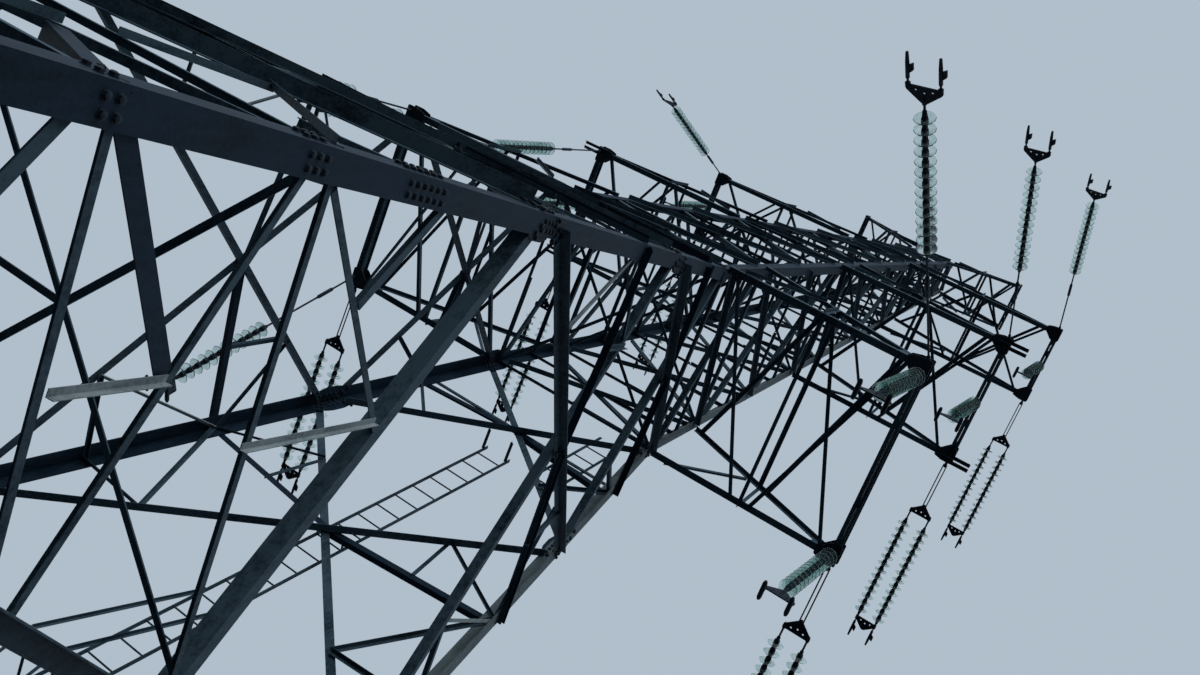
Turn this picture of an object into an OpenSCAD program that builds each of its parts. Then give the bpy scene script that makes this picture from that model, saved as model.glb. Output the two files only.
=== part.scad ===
// Lattice transmission pylon for two circuits, with a crossarm for each phase on both sides.
// X runs along the crossarms, Y along the line, Z up. The origin is the middle of the base.

/* [Tower body] */
// Distance between the leg lines at the ground
base_w = 8820; // [8000:10:9600]
// Distance between the leg lines at the waist
waist_w = 2920; // [2700:10:3200]
// Distance between the leg lines at the top
top_w = 960; // [860:10:1100]
// Height of the lowest end of the bracing
foot_node_h = 1400; // [1200:10:1700]
// Height of the first bracing node
low_node_h = 9400; // [9100:10:9700]
// Height of the second bracing node
mid_node_h = 14100; // [13900:10:14300]
// Height of the lowest crossarm, where the waist is
arm_a_h = 17200; // [17000:10:17500]
// Height of the second crossarm
arm_b_h = 23800; // [23500:10:24100]
// Height of the third crossarm
arm_c_h = 30700; // [30400:10:31000]
// Height of the tower
top_h = 37900; // [37600:10:38200]

/* [Crossarms] */
// Reach of the lowest crossarm from the middle
arm_a_reach = 4440; // [4200:10:4700]
// Reach of the second crossarm from the middle
arm_b_reach = 4445; // [4200:10:4700]
// Reach of the third crossarm from the middle
arm_c_reach = 4545; // [4300:10:4800]
// Reach of the earth wire arm from the middle
arm_d_reach = 2440; // [2200:10:2700]
// Half length of the end beam of the lowest crossarm
arm_a_tip = 1445; // [1350:5:1500]
// Half length of the end beam of the second crossarm
arm_b_tip = 1150; // [1000:5:1200]
// Half length of the end beam of the third crossarm
arm_c_tip = 810; // [700:5:900]
// Half length of the end beam of the earth wire arm
arm_d_tip = 640; // [560:5:700]
// Depth of the lowest crossarm at the body
arm_a_depth = 1750; // [1600:10:1900]
// Depth of the second crossarm at the body
arm_b_depth = 1550; // [1400:10:1700]
// Depth of the third crossarm at the body
arm_c_depth = 1500; // [1350:10:1650]
// Depth of the earth wire arm at the body
arm_d_depth = 1450; // [1300:10:1600]

/* [Angle bars] */
// Flange of the lower legs
leg_w = 180; // [160:5:200]
// Thickness of the lower legs
leg_t = 18; // [14:1:22]
// Flange of the upper legs
upper_leg_w = 160; // [140:5:180]
// Thickness of the upper legs
upper_leg_t = 14; // [12:1:16]
// Flange of the lowest diagonals
diagonal_w = 125; // [110:5:130]
// Thickness of the lowest diagonals
diagonal_t = 10; // [8:1:12]
// Flange of the diagonals above them, up to the waist
middle_diagonal_w = 100; // [90:5:110]
// Thickness of the diagonals above them
middle_diagonal_t = 8; // [7:1:10]
// Flange of the upper diagonals
upper_diagonal_w = 80; // [70:5:90]
// Thickness of the upper diagonals
upper_diagonal_t = 8; // [6:1:10]
// Flange of the short struts
strut_w = 50; // [40:5:60]
// Thickness of the short struts
strut_t = 6; // [5:1:8]
// Flange of the level crossarm chords
chord_w = 100; // [90:5:110]
// Flange of the sloping crossarm chords
slope_chord_w = 65; // [60:5:75]
// Thickness of the crossarm chords
chord_t = 9; // [8:1:10]
// Flange of the bars between the crossarm chords
arm_bar_w = 55; // [45:5:65]

/* [Insulators] */
// Number of discs in a tension string
tension_discs = 14; // [12:1:16]
// Number of discs in a string that holds a jumper
support_discs = 12; // [10:1:13]
// Diameter of a glass disc
disc_d = 255; // [240:5:280]
// Height of one disc with its cap and pin
disc_pitch = 146; // [140:1:160]
// Distance between the two conductors of a phase
twin_gap = 370; // [350:10:400]
// Thickness of the yoke plates
yoke_t = 18; // [14:1:24]

/* [Ladder] */
// Distance between the ladder rails
ladder_w = 390; // [360:10:450]
// Distance between the rungs
rung_gap = 340; // [280:10:400]
// Height of the top of the ladder
ladder_top_h = 15400; // [14600:10:15700]
// Height of the lower end of the ladder
ladder_foot_h = 2600; // [2400:10:3200]

/* [Feet] */
// Side of the base plate
plate_w = 640; // [560:10:700]
// Thickness of the base plate
plate_t = 40; // [30:5:50]
// Distance between the anchor bolt holes
bolt_gap = 480; // [420:10:500]
// Diameter of the anchor bolt holes
bolt_hole_d = 54; // [40:1:60]

/* [Hidden] */

steel = "#5f7076";
glass = "#8fa8a4";
pin_r = 11;
cap_r = 44;
rod_r = 13;
yoke_h = 190;
line_link = 1150;
yoke_side = 25;
slack_links_right = [1860, 1500, 1810];
slack_links_left = [1450, 2040, 1040];
support_link = 280;
pulled_link = 2090;
line_dir = [0, 1, -0.03];
slack_dirs_right = [[-0.182, -0.722, -0.667], [-0.162, -0.808, -0.567], [-0.08, -0.746, -0.661]];
slack_dirs_left = [[0.03, -0.09, -1], [0.033, 0.023, -1], [-0.196, -0.415, -0.889]];
pulled_dir = [0.1, 0.314, -0.944];
beam_over = 80;
beam_h = 160;
beam_drop = 20;
slot_w = 24;
web_t = 12;
channel_w = 44;
slope_short = 140;
arm_back = 120;
arm_out = 50;
pin_h = 60;
pin_out = 35;
pin_in = 90;
hang_r = 20;
hang_gap = 0.3;
eye_r = 40;
eye_t = 20;
eye_l = 150;
ladder_off = 140;
ladder_side = -50;
band_gap = 130;
node_gap = 200;
strut_rise = 280;
plan_t = 10;
plan_side = 220;
foot_in = 70;
leg_seat = 110;
far = 60000;
weld = 2;

function unit(v) = v / norm(v);
function half_at(z) = z < arm_a_h
    ? (base_w + (waist_w - base_w) * z / arm_a_h) / 2
    : (waist_w + (top_w - waist_w) * (z - arm_a_h) / (top_h - arm_a_h)) / 2;
function low_batter() = (base_w - waist_w) / 2 / arm_a_h;
function high_batter() = (waist_w - top_w) / 2 / (top_h - arm_a_h);
function strip(p, q, a, b) =
    let (d = unit(q - p), n = [-d.y, d.x])
    [p + a * n, q + a * n, q + b * n, p + b * n];

// Puts flat work on the plane through three points, with its first side along o to px
module on_plane(o, px, py) {
    x = unit(px - o);
    n = unit(cross(x, py - o));
    y = cross(n, x);
    multmatrix([
        [x.x, y.x, n.x, o.x],
        [x.y, y.y, n.y, o.y],
        [x.z, y.z, n.z, o.z]
    ]) children();
}

// Angle bars that lie on a plane: each is a flat flange and a rib that stands up from its edge
module angles(bars, width, wall) {
    half = width / 2;
    for (b = bars) {
        along_bar = b[1] - b[0];
        translate([b[0].x, b[0].y, 0])
            rotate([0, 0, atan2(along_bar.y, along_bar.x)]) rotate([90, 0, 90])
                linear_extrude(norm(along_bar))
                    polygon([[-half, 0], [half, 0], [half, width], [half - wall, width], [half - wall, wall], [-half, wall]]);
    }
}

// Places of the nodes on one side of the body, in the plane of that side
function low_point(s, z, inset) =
    [s * (half_at(z) - inset), z * norm([1, low_batter()])];
function high_point(s, z, inset) =
    [s * (half_at(z) - inset), (z - arm_a_h) * norm([1, high_batter()])];

module on_low_side(k) {
    rotate([0, 0, 90 * k])
        on_plane([0, -base_w / 2, 0], [1, -base_w / 2, 0], [0, -waist_w / 2, arm_a_h]) children();
}

module on_high_side(k) {
    rotate([0, 0, 90 * k])
        on_plane([0, -waist_w / 2, arm_a_h], [1, -waist_w / 2, arm_a_h], [0, -top_w / 2, top_h]) children();
}

function squared(v, a) = unit(v - (v * a) * a);

// Angle bar whose heel runs from p to q, with a flange towards each of two directions. It starts
// at a length before p and ends at a length past q.
module angle_bar(p, q, to_u, to_v, width, wall, before, past) {
    a = unit(q - p);
    u = squared(to_u, a);
    v = squared(to_v, a);
    e = cross(a, u);
    c = u * v;
    hand = sign(v * e);
    s = sqrt(1 - c * c);
    multmatrix([
        [u.x, e.x, a.x, p.x],
        [u.y, e.y, a.y, p.y],
        [u.z, e.z, a.z, p.z]
    ])
        translate([0, 0, -before])
            linear_extrude(norm(q - p) + before + past)
                polygon([
                    [0, 0], [width, 0], [width, hand * wall],
                    [wall * (1 + c) / s, hand * wall],
                    [width * c + wall * s, hand * (width * s - wall * c)],
                    [width * c, hand * width * s]
                ]);
}

module leg(k) {
    ground = [-base_w / 2, -base_w / 2, 0];
    waist = [-waist_w / 2, -waist_w / 2, arm_a_h];
    peak = [-top_w / 2, -top_w / 2, top_h];
    color(steel) rotate([0, 0, 90 * k]) {
        intersection() {
            angle_bar(ground, waist, [1, 0, 0], [0, 1, 0], leg_w, leg_t, leg_w, leg_w);
            translate([-far / 2, -far / 2, 0]) cube([far, far, arm_a_h]);
        }
        intersection() {
            angle_bar(waist, peak, [1, 0, 0], [0, 1, 0], upper_leg_w, upper_leg_t, leg_w, leg_w);
            translate([-far / 2, -far / 2, arm_a_h]) cube([far, far, top_h - arm_a_h]);
        }
        foot();
    }
}

module foot() {
    foot_at = foot_in - base_w / 2;
    difference() {
        translate([foot_at - plate_w / 2, foot_at - plate_w / 2, 0]) cube([plate_w, plate_w, plate_t]);
        for (i = [-1, 1], j = [-1, 1])
            translate([foot_at + i * bolt_gap / 2, foot_at + j * bolt_gap / 2, -1])
                cylinder(h = plate_t + 2, d = bolt_hole_d, $fn = 32);
    }
}

module clip(points, deep) {
    intersection() {
        children();
        translate([0, 0, -deep]) linear_extrude(2 * deep) polygon(points);
    }
}

// Short struts that join a diagonal of the low panel to the legs: the two below the crossing and
// the one above it, as the height at the leg and the height at the diagonal. The one above stops
// short of the leg's flange.
lower_struts = [[4600, 4580], [5950, 4740]];
upper_strut = [6240, 7700];
upper_strut_short = 60;

// Where the diagonal of the low panel that rises towards side 1 or -1 is at a height
function low_diagonal_point(side, z, inset) =
    let (p = low_point(-side, foot_node_h + node_gap, inset), q = low_point(side, low_node_h - node_gap, inset),
        y = low_point(0, z, 0).y)
    [p.x + (q.x - p.x) * (y - p.y) / (q.y - p.y), y];

module low_diagonal(k, side) {
    inset = side > 0 ? leg_seat : leg_t + diagonal_w + 12;
    edge = side > 0 ? 12 : leg_t + diagonal_w + 6;
    p = low_point(-side, foot_node_h + node_gap, inset);
    q = low_point(side, low_node_h - node_gap, inset);
    upper = [
        low_point(side, upper_strut[0], edge + weld + upper_strut_short),
        low_diagonal_point(side, upper_strut[1], inset)
    ];
    color(steel) on_low_side(k)
        clip([
            low_point(-1, foot_node_h, edge), low_point(1, foot_node_h, edge),
            low_point(1, low_node_h - band_gap / 2, edge), low_point(-1, low_node_h - band_gap / 2, edge)
        ], leg_w * 2)
            layer(side, leg_t) {
                angles([[p, q]], diagonal_w, diagonal_t);
                angles(side > 0 ? [upper] : concat([upper], inner_struts(inset, edge + weld)), strut_w, strut_t);
            }
    if (side < 0) color(steel) on_low_side(k)
        for (s = lower_struts) filler(low_diagonal_point(1, s[1], leg_seat), strut_w, leg_t);
}

// Struts that lie inside the legs: the lower ones at both legs and the level one between the legs.
// At the left leg they meet the outer diagonal, through a packing plate as thick as the leg.
function inner_struts(inset, edge) = concat(
    [for (s = lower_struts) [low_point(1, s[0], edge), low_diagonal_point(-1, s[1], inset)]],
    [for (s = lower_struts) [low_point(-1, s[0], edge), low_diagonal_point(1, s[1], leg_seat)]],
    [[low_point(-1, low_cross_h, edge), low_point(1, low_cross_h, edge)]]
);

// Outside the leg for side 1, inside it for side -1
module layer(side, t) {
    if (side > 0) children();
    else translate([0, 0, -t]) mirror([0, 0, 1]) children();
}

module filler(p, width, t) {
    translate([p.x, p.y, -t]) linear_extrude(t) square(width * 0.9, center = true);
}

// Height at which the two diagonals of a panel cross
function cross_h(z0, z1) = z0 + (z1 - z0) * half_at(z0) / (half_at(z0) + half_at(z1));
low_cross_h = cross_h(foot_node_h, low_node_h);

// The strut of a panel rises from where its diagonals cross to each leg
module low_panel(z0, z1, rise) {
    zc = cross_h(z0, z1);
    centre = low_point(0, zc, 0);
    for (side = [-1, 1]) {
        inset = side > 0 ? leg_seat : leg_t + middle_diagonal_w + 12;
        edge = side > 0 ? 12 : leg_t + middle_diagonal_w + 6;
        clip([
            low_point(-1, z0 + band_gap / 2, edge), low_point(1, z0 + band_gap / 2, edge),
            low_point(1, z1 - band_gap / 2, edge), low_point(-1, z1 - band_gap / 2, edge)
        ], leg_w * 2)
            layer(side, leg_t)
                angles([[low_point(-side, z0 + node_gap, inset), low_point(side, z1 - node_gap, inset)]],
                    middle_diagonal_w, middle_diagonal_t);
    }
    filler(centre, middle_diagonal_w, leg_t);
    angles([
        [low_point(-1, zc + rise, 14), centre - [25, 0]], [centre + [25, 0], low_point(1, zc + rise, 14)]
    ], strut_w, strut_t);
}

module middle_bracing(k) {
    color(steel) on_low_side(k) {
        low_panel(low_node_h, mid_node_h, strut_rise);
        low_panel(mid_node_h, arm_a_h, 0);
    }
}

// Nodes of the upper body: each crossarm has one at its lower and one at its upper chord
upper_nodes = [
    arm_a_h, arm_a_h + arm_a_depth,
    (arm_a_h + arm_a_depth + arm_b_h) / 2, arm_b_h, arm_b_h + arm_b_depth,
    (arm_b_h + arm_b_depth + arm_c_h) / 2, arm_c_h, arm_c_h + arm_c_depth,
    (arm_c_h + arm_c_depth + top_h - arm_d_depth) / 2, top_h - arm_d_depth, top_h
];

module high_panel(z0, z1) {
    zc = cross_h(z0, z1);
    for (side = [-1, 1]) {
        inset = side > 0 ? 80 : upper_leg_t + upper_diagonal_w + 12;
        edge = side > 0 ? 10 : upper_leg_t + upper_diagonal_w + 6;
        clip([
            high_point(-1, z0 + band_gap, edge), high_point(1, z0 + band_gap, edge),
            high_point(1, z1 - band_gap, edge), high_point(-1, z1 - band_gap, edge)
        ], leg_w * 2)
            layer(side, upper_leg_t)
                angles([[high_point(-side, z0 + node_gap, inset), high_point(side, z1 - node_gap, inset)]],
                    upper_diagonal_w, upper_diagonal_t);
    }
    filler(high_point(0, zc, 0), upper_diagonal_w, upper_leg_t);
}

module upper_bracing(k) {
    color(steel) on_high_side(k)
        for (i = [0 : len(upper_nodes) - 2]) high_panel(upper_nodes[i], upper_nodes[i + 1]);
}

function mirrored(p) = [p.x, -p.y, p.z];
function along(p, q, t) = p + (q - p) * t;

// Bars on the inner faces of the chords, and on their outer faces. Local Z points into the arm.
module inside(wall) {
    translate([0, 0, wall - weld]) children();
}

module outside() {
    mirror([0, 0, 1]) translate([0, 0, -weld]) children();
}

// One crossarm on the right: two level chords and two sloping ones that meet the end beam. It is
// drawn with its level chords at height 0 and its sloping chords above them.
module arm_frame(half_level, half_slope, reach, tip, depth) {
    root_l = [half_level, half_level + arm_out, 0];
    root_s = [half_slope, half_slope + arm_out, depth];
    tip_l = [reach, tip + arm_out, 0];
    x = unit(tip_l - root_l);
    tip_s = tip_l + squared(root_s - root_l, x) * beam_h;
    long = norm(tip_l - root_l);
    slope_root = [(root_s - root_l) * x, norm(cross(root_s - root_l, x))];
    slope_tip = [long, beam_h];
    slope_dir = unit(slope_tip - slope_root);
    slope_in = [slope_dir.y, -slope_dir.x];
    slope_end = slope_tip - slope_dir * slope_short;
    for (m = [0, 1]) mirror([0, m, 0]) {
        angle_bar(root_l, tip_l, [0, -1, 0], root_s - root_l, chord_w, chord_t, arm_back, 0);
        angle_bar(root_s, tip_s, [0, -1, 0], root_l - root_s, slope_chord_w, chord_t, arm_back, -slope_short);
        on_plane(root_l, tip_l, root_s) {
            outside() angles([
                [[long / 2, chord_w / 2], along(slope_root, slope_tip, 0.5) + slope_in * slope_chord_w / 2],
                [[long * 0.08, chord_w / 2], along(slope_root, slope_tip, 0.42) + slope_in * slope_chord_w / 2]
            ], arm_bar_w, strut_t);
            inside(chord_t) linear_extrude(chord_t) polygon([
                [long - 480, 15], [long - 34, 15], [long - 34, beam_h - 44], [long - 100, beam_h - 44],
                slope_end + slope_in * 15, slope_end - slope_dir * 260 + slope_in * 15,
                slope_end - slope_dir * 260 + slope_in * (slope_chord_w - 15)
            ]);
        }
    }
    on_plane(mirrored(root_l), mirrored(tip_l), root_l) {
        inside(chord_t) cross_bars(root_l, tip_l, chord_w, [[0.5, 0.5], [0.05, 0.45], [0.55, 0.93]]);
        outside() cross_bars(root_l, tip_l, chord_w, [[0.93, 0.55]]);
    }
    on_plane(root_s, tip_s, mirrored(root_s))
        inside(chord_t) cross_bars(root_s, tip_s, slope_chord_w, [[0.5, 0.5], [0.05, 0.45], [0.55, 0.9]]);
}

// Bars between two chords that are mirror images, in the plane that holds both. Each bar is
// given by how far along the first and the second chord it starts and ends.
module cross_bars(root, tip, width, bars) {
    taper = asin((root.y - tip.y) / norm(tip - root));
    long = norm(tip - root);
    function first(t) = [long * t, width / 2];
    function second(t) = [
        long * t * cos(2 * taper) + 2 * root.y * sin(taper) - width / 2 * sin(2 * taper),
        2 * root.y * cos(taper) - long * t * sin(2 * taper) - width / 2 * cos(2 * taper)
    ];
    angles([for (b = bars) [first(b[0]), second(b[1])]], arm_bar_w, strut_t);
}

// Cuts an arm off at the face of the body and inside the near web of its end beam
module arm(z, reach, tip, depth, up, pins) {
    intersection() {
        translate([0, 0, z]) mirror([0, 0, up > 0 ? 0 : 1])
            arm_frame(half_at(z), half_at(z + up * depth), reach, tip, depth);
        on_high_side(1) translate([-far / 2, -far / 2, 0]) cube([far, far, far]);
        translate([-far, -far / 2, 0]) cube([far + reach - slot_w / 2 - web_t / 2, far, far]);
    }
    translate([reach, 0, z]) mirror([0, 0, up > 0 ? 0 : 1]) end_beam(tip, pins);
}

// End beam of two channels back to back, with spacers in the slot and the pins that carry strings
module end_beam(tip, pins) {
    for (side = [0, 1]) mirror([side, 0, 0])
        translate([slot_w / 2, tip + beam_over, -beam_drop]) rotate([90, 0, 0])
            linear_extrude(2 * (tip + beam_over))
                polygon([
                    [0, 0], [channel_w, 0], [channel_w, web_t], [web_t, web_t],
                    [web_t, beam_h - web_t], [channel_w, beam_h - web_t], [channel_w, beam_h], [0, beam_h]
                ]);
    for (y = [-1, -0.5, 0.5, 1] * (tip - 230))
        translate([-slot_w / 2 - weld, y - 60, 8 - beam_drop]) cube([slot_w + 2 * weld, 120, beam_h - 16]);
    for (y = pins) translate([0, y, pin_h]) rotate([0, 90, 0])
        cylinder(h = slot_w + web_t + 4, r = hang_r, center = true, $fn = 32);
}

// Level frame between the legs with a cross in it
module plan_frame(z) {
    t = z < arm_a_h + 1 ? leg_t : upper_leg_t;
    half = half_at(z + strut_w / 2) - t;
    translate([0, 0, z - strut_w / 2]) {
        linear_extrude(strut_w) difference() {
            square(2 * half, center = true);
            square(2 * (half - strut_t), center = true);
        }
        linear_extrude(strut_t) difference() {
            square(2 * half, center = true);
            square(2 * (half - strut_w), center = true);
        }
        linear_extrude(strut_t * 1.5)
            for (s = [-1, 1])
                polygon(strip([-half + 20, -s * (half - 20)], [half - 20, s * (half - 20)], -strut_w / 2, strut_w / 2));
    }
}

// The space inside the struts of one side of the lower body
module inner_side(k) {
    on_low_side(k) translate([-far / 2, -far / 2, -far - leg_t - strut_t]) cube(far);
}

// Flat bars inside the body where the lowest diagonals cross: a square that stands on its corner
// from side to side, a smaller square inside it, and bars from the legs through both to the middle
module low_plan_frame() {
    half = half_at(low_cross_h);
    middle = (half + plan_side) / 2;
    bar = strut_w / 2;
    intersection() {
        translate([0, 0, low_cross_h - plan_t]) linear_extrude(plan_t) for (k = [0 : 3]) rotate(90 * k) {
            polygon(strip([half + bar, bar - plan_side], [plan_side - bar, -half - bar], -bar, bar));
            polygon(strip([middle, -middle], [middle, middle], -bar, bar));
            polygon(strip([-1, -1], [half + bar, half + bar], -bar, bar));
        }
        inner_side(0);
        inner_side(1);
        inner_side(2);
        inner_side(3);
    }
}

module plan_bracing() {
    color(steel) for (z = [arm_a_h, arm_a_h + arm_a_depth, arm_b_h, arm_c_h, top_h - arm_d_depth, top_h - strut_w])
        plan_frame(z);
    color(steel) low_plan_frame();
}

// Ladder up the back, on brackets that stand on the struts where the diagonals cross
module ladder() {
    foot = low_point(0, ladder_foot_h, 0).y;
    length = low_point(0, ladder_top_h, 0).y - foot;
    rungs = floor((length - rung_gap / 2) / rung_gap);
    seats = [[low_cross_h, -leg_t], [cross_h(low_node_h, mid_node_h), strut_t]];
    color(steel) on_low_side(2) translate([ladder_side - ladder_w / 2, 0, 0]) {
        translate([0, foot, ladder_off]) {
            for (x = [0, ladder_w]) translate([x - 5, 0, 0]) cube([10, length, 50]);
            for (i = [0 : rungs]) translate([-5, rung_gap / 2 + i * rung_gap, 25]) rotate([0, 90, 0])
                cylinder(h = ladder_w + 10, d = 20, $fn = 8);
        }
        for (x = [0, ladder_w], seat = seats)
            translate([x - 4, low_point(0, seat[0], 0).y - 6, seat[1]]) cube([8, 36, ladder_off + 20 - seat[1]]);
    }
}

// One glass disc with its cap and pin, as a profile that starts at the height of disc i
function disc_profile(i) = [for (p = [
        [pin_r, 0], [cap_r, -12], [cap_r, -62], [disc_d / 2, -90], [disc_d / 2, -99],
        [cap_r, -104], [pin_r, -112]
    ]) [p.x, p.y - i * disc_pitch]];

module disc_string(count) {
    rotate_extrude($fn = 32)
        polygon(concat([[0, 0]], [for (i = [0 : count - 1]) each disc_profile(i)],
            [[pin_r, -count * disc_pitch], [0, -count * disc_pitch]]));
}

// Places a string at a point so that it runs off in a direction, with its yokes spread along X
module pulled(at, dir) {
    n = unit(dir) * -1;
    x = unit([1, 0, 0] - n.x * n);
    y = cross(n, x);
    multmatrix([
        [x.x, y.x, n.x, at.x],
        [x.y, y.y, n.y, at.y],
        [x.z, y.z, n.z, at.z]
    ]) children();
}

module yoke(wide, high, down) {
    rotate([90, 0, 0]) translate([0, 0, -yoke_t / 2]) linear_extrude(yoke_t)
        mirror([0, down ? 0 : 1]) difference() {
            polygon([
                [-35, 30], [35, 30], [wide / 2 + yoke_side, -high + 20], [wide / 2 + yoke_side, -high - 40],
                [-wide / 2 - yoke_side, -high - 40], [-wide / 2 - yoke_side, -high + 20]
            ]);
            translate([0, -high * 0.55]) circle(r = 28, $fn = 24);
        }
}

module rod(z0, z1) {
    translate([0, 0, z1]) cylinder(h = z0 - z1, r = rod_r, $fn = 16);
    for (z = [z0, z1]) translate([-18, -24, z - 30]) cube([36, 48, 60]);
}

// Strain clamp that grips a conductor, with the tongue for the jumper
module strain_clamp() {
    translate([0, 0, -420]) cylinder(h = 420, r = 26, $fn = 16);
    translate([0, 0, -150]) rotate([90, 0, 0]) translate([0, 0, -12]) linear_extrude(24)
        polygon([[0, 0], [70, -60], [70, -150], [0, -110]]);
}

// Link with an eye that hangs on a pin of the end beam
module eye_link() {
    translate([-eye_t / 2, 0, 0]) rotate([90, 0, 90]) linear_extrude(eye_t) difference() {
        union() {
            circle(r = eye_r, $fn = 32);
            translate([-eye_r / 2, -eye_l]) square([eye_r, eye_l]);
        }
        circle(r = hang_r + hang_gap, $fn = 32);
    }
}

// Double string towards the line, between two yokes
module line_string() {
    string_l = tension_discs * disc_pitch;
    start = line_link + yoke_h + 100;
    eye_link();
    rod(-eye_l, -line_link);
    translate([0, 0, -line_link]) yoke(twin_gap, yoke_h, true);
    for (s = [-1, 1]) translate([s * twin_gap / 2, 0, 0]) {
        rod(-line_link - yoke_h, -start);
        translate([0, 0, -start]) disc_string(tension_discs);
        rod(-start - string_l, -start - 100 - string_l);
    }
    translate([0, 0, -start - 100 - string_l - yoke_h]) yoke(twin_gap, yoke_h, false);
    for (s = [-1, 1]) translate([s * twin_gap / 2, 0, -start - 100 - string_l]) strain_clamp();
}

// Single string towards the down leads, with one yoke for the two conductors
module slack_string(link) {
    string_l = tension_discs * disc_pitch;
    rod(0, -link);
    translate([0, 0, -link]) disc_string(tension_discs);
    rod(-link - string_l, -link - string_l - 120);
    translate([0, 0, -link - string_l - 120]) yoke(twin_gap, yoke_h, true);
    for (s = [-1, 1]) translate([s * twin_gap / 2, 0, -link - string_l - 120 - yoke_h]) strain_clamp();
}

// String that hangs from a crossarm and holds both conductors of a jumper
module support_string(link) {
    end = -link - support_discs * disc_pitch;
    rod(0, -link);
    translate([0, 0, -link]) disc_string(support_discs);
    rod(end, end - 60);
    translate([0, 0, end - 60]) yoke(twin_gap, yoke_h, true);
    for (s = [-1, 1]) translate([s * twin_gap / 2, 0, end - 60 - yoke_h]) {
        translate([-15, -25, -120]) cube([30, 50, 130]);
        translate([0, 130, -120]) rotate([90, 0, 0]) cylinder(h = 260, r = 32, $fn = 24);
    }
}

arm_tips = [
    [arm_a_reach, arm_a_tip, arm_a_h], [arm_b_reach, arm_b_tip, arm_b_h], [arm_c_reach, arm_c_tip, arm_c_h]
];

module line_strings(side) {
    color(glass) for (p = arm_tips)
        pulled([side * p.x, p.y + pin_out, p.z + pin_h], line_dir) line_string();
}

module slack_strings(side) {
    dirs = side > 0 ? slack_dirs_right : slack_dirs_left;
    links = side > 0 ? slack_links_right : slack_links_left;
    color(glass) for (i = [0 : 2]) {
        pin = [side * arm_tips[i].x, -arm_tips[i].y - pin_out, arm_tips[i].z + pin_h];
        flat = [0, dirs[i].y, dirs[i].z];
        pulled(pin, flat) eye_link();
        pulled(pin + unit(flat) * eye_l, dirs[i]) slack_string(links[i]);
    }
}

// The outermost support string of the left circuit is pulled aside, the others hang straight
module support_strings(side) {
    color(glass) for (p = [
        [arm_a_reach, arm_a_tip - pin_in, arm_a_h], [arm_a_reach, pin_in - arm_a_tip, arm_a_h],
        [arm_b_reach, 0, arm_b_h], [arm_c_reach, 0, arm_c_h]
    ]) {
        aside = side < 0 && p.y > 0;
        dir = aside ? pulled_dir : [0, 0, -1];
        flat = [0, dir.y, dir.z];
        pin = [side * p.x, p.y, p.z + pin_h];
        pulled(pin, flat) eye_link();
        pulled(pin + unit(flat) * eye_l, dir) support_string(aside ? pulled_link : support_link - eye_l);
    }
}

module arms(side, which) {
    outer = [1, -1] * (arm_tips[min(which, 2)].y + pin_out);
    color(steel) rotate([0, 0, side > 0 ? 0 : 180]) {
        if (which == 0) arm(arm_a_h, arm_a_reach, arm_a_tip, arm_a_depth, 1,
            concat(outer, [1, -1] * (arm_a_tip - pin_in)));
        if (which == 1) arm(arm_b_h, arm_b_reach, arm_b_tip, arm_b_depth, 1, concat(outer, [0]));
        if (which == 2) arm(arm_c_h, arm_c_reach, arm_c_tip, arm_c_depth, 1, concat(outer, [0]));
        if (which == 3) arm(top_h, arm_d_reach, arm_d_tip, arm_d_depth, -1, []);
    }
}

leg(0);  // leg_front_left
leg(1);  // leg_front_right
leg(2);  // leg_back_right
leg(3);  // leg_back_left
low_diagonal(0, 1);  // low_diagonal_rising_front
low_diagonal(1, 1);  // low_diagonal_rising_right
low_diagonal(2, 1);  // low_diagonal_rising_back
low_diagonal(3, 1);  // low_diagonal_rising_left
low_diagonal(0, -1);  // low_diagonal_falling_front
low_diagonal(1, -1);  // low_diagonal_falling_right
low_diagonal(2, -1);  // low_diagonal_falling_back
low_diagonal(3, -1);  // low_diagonal_falling_left
middle_bracing(0);  // middle_bracing_front
middle_bracing(1);  // middle_bracing_right
middle_bracing(2);  // middle_bracing_back
middle_bracing(3);  // middle_bracing_left
upper_bracing(0);  // upper_bracing_front
upper_bracing(1);  // upper_bracing_right
upper_bracing(2);  // upper_bracing_back
upper_bracing(3);  // upper_bracing_left
arms(1, 0);  // arm_a_right
arms(-1, 0);  // arm_a_left
arms(1, 1);  // arm_b_right
arms(-1, 1);  // arm_b_left
arms(1, 2);  // arm_c_right
arms(-1, 2);  // arm_c_left
arms(1, 3);  // arm_d_right
arms(-1, 3);  // arm_d_left
plan_bracing();
ladder();
line_strings(1);  // line_strings_right
line_strings(-1);  // line_strings_left
slack_strings(1);  // slack_strings_right
slack_strings(-1);  // slack_strings_left
support_strings(1);  // support_strings_right
support_strings(-1);  // support_strings_left
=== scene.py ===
# %% [markdown]
# # A lattice pylon seen from its foot
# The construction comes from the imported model: every leg, brace, crossarm and string is already
# there at its real size. This script gives the steel and glass their finish, and adds what a
# rigger would see from the ground: bolts, gusset plates, thin bracing and the string fittings.

# %% Load the construction
import math
import bpy
from mathutils import Matrix, Vector


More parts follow.
